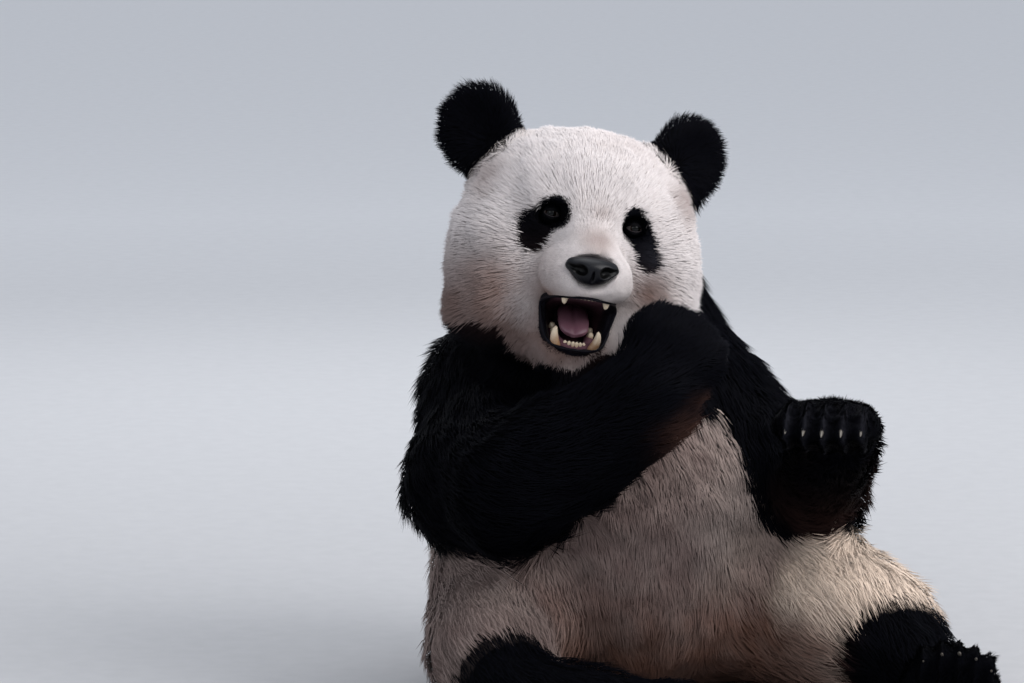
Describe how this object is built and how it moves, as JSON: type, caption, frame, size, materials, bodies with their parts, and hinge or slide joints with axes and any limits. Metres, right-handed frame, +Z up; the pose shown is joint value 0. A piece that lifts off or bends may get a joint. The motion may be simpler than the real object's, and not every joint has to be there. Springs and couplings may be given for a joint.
{
  "type": "giant panda",
  "caption": "Life-size still model of a seated giant panda, mouth open, right forepaw raised to the chin and left forepaw held out over the knee.",
  "frame": {"origin": "on the floor, under the middle of the bounding box", "axes": "+Z up; the panda faces -Y, and its own left side lies on +X"},
  "size_m": [0.829, 0.8354, 0.8664],
  "materials": {
    "fur_black": "Long dense black coat with a faint cool sheen.",
    "fur_white": "Long dense off-white coat, with brown stains on the cheek and round the mouth. The teeth in the muzzle and jaw nodes are ivory.",
    "fur_dusty": "Off-white coat of the belly and thighs, dusty grey-brown, and reddish brown in the groin.",
    "nose_leather": "Moist, pebbled black nose pad.",
    "eye_dark": "Wet dark brown eye.",
    "tongue_pink": "Moist dull pink tongue with a rough top.",
    "claw_horn": "Pale grey-brown horn, a little glossy."
  },
  "bodies": {
    "root": {"belly": "fur_dusty", "chest": "fur_black", "claw_forepaw_left_1": "claw_horn", "claw_forepaw_left_2": "claw_horn", "claw_forepaw_left_3": "claw_horn", "claw_forepaw_left_4": "claw_horn", "claw_forepaw_left_5": "claw_horn", "claw_forepaw_right_1": "claw_horn", "claw_forepaw_right_2": "claw_horn", "claw_forepaw_right_3": "claw_horn", "claw_forepaw_right_4": "claw_horn", "claw_forepaw_right_5": "claw_horn", "claw_hind_foot_left_1": "claw_horn", "claw_hind_foot_left_2": "claw_horn", "claw_hind_foot_left_3": "claw_horn", "claw_hind_foot_left_4": "claw_horn", "claw_hind_foot_left_5": "claw_horn", "claw_hind_foot_right_1": "claw_horn", "claw_hind_foot_right_2": "claw_horn", "claw_hind_foot_right_3": "claw_horn", "claw_hind_foot_right_4": "claw_horn", "claw_hind_foot_right_5": "claw_horn", "ear_left": "fur_black", "ear_right": "fur_black", "eye_left": "eye_dark", "eye_right": "eye_dark", "forearm_left": "fur_black", "forearm_right": "fur_black", "forepaw_left": "fur_black", "forepaw_right": "fur_black", "head": "fur_white", "hind_foot_left": "fur_black", "hind_foot_right": "fur_black", "lower_jaw": "fur_white", "muzzle": "fur_white", "neck": "fur_white", "nose": "nose_leather", "rump": "fur_white", "shin_left": "fur_black", "shin_right": "fur_black", "tail": "fur_white", "thigh_left": "fur_dusty", "thigh_right": "fur_dusty", "tongue": "tongue_pink", "upper_arm_left": "fur_black", "upper_arm_right": "fur_black"}
  },
  "joints": []
}
